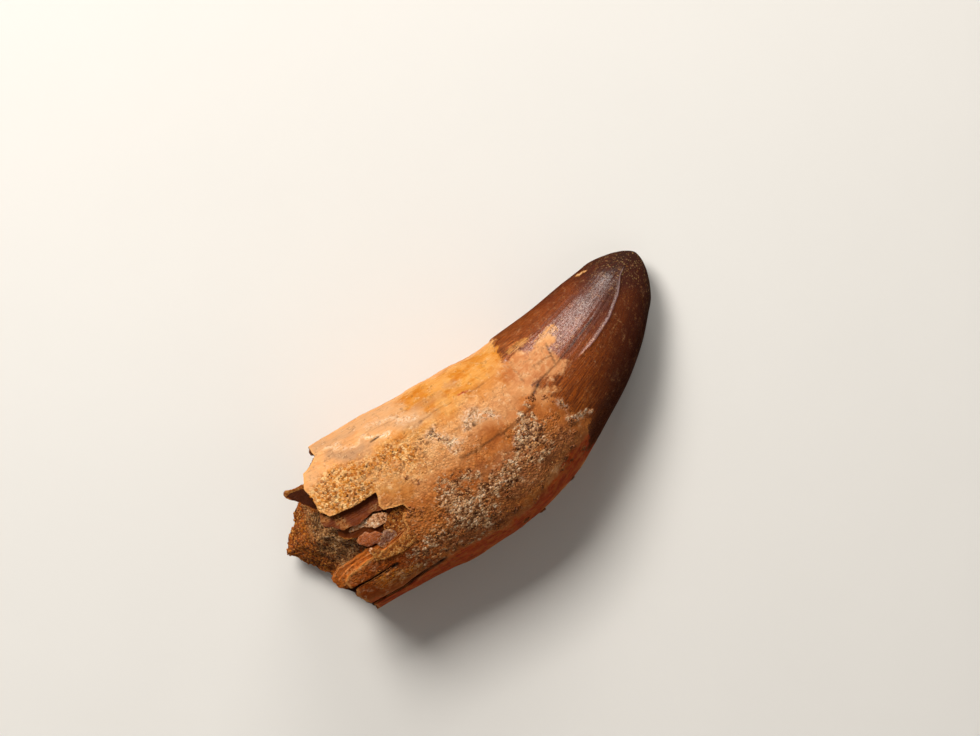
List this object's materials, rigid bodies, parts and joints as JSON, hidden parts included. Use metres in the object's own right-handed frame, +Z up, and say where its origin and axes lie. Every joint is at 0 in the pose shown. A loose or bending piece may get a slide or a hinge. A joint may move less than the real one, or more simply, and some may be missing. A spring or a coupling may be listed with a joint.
{
  "type": "fossil crocodile tooth",
  "caption": "Curved fossil crocodile tooth with a dark crown, a sand-crusted root and a splintered end filled with sandstone; it lies on its side.",
  "frame": {"origin": "middle of the tooth's bounding box, on the surface it lies on", "axes": "+X from the broken root end to the crown's tip, +Y towards the concave side, +Z up with the tooth lying on its side"},
  "size_m": [0.0578, 0.0252, 0.0195],
  "materials": {
    "tooth": "satin dark brown enamel crown, matt ochre and tan root with sand grains cemented on it",
    "matrix_fill": "rough grey-brown sandstone"
  },
  "bodies": {
    "root": {"tooth": "tooth", "matrix_fill": "matrix_fill"}
  },
  "joints": []
}
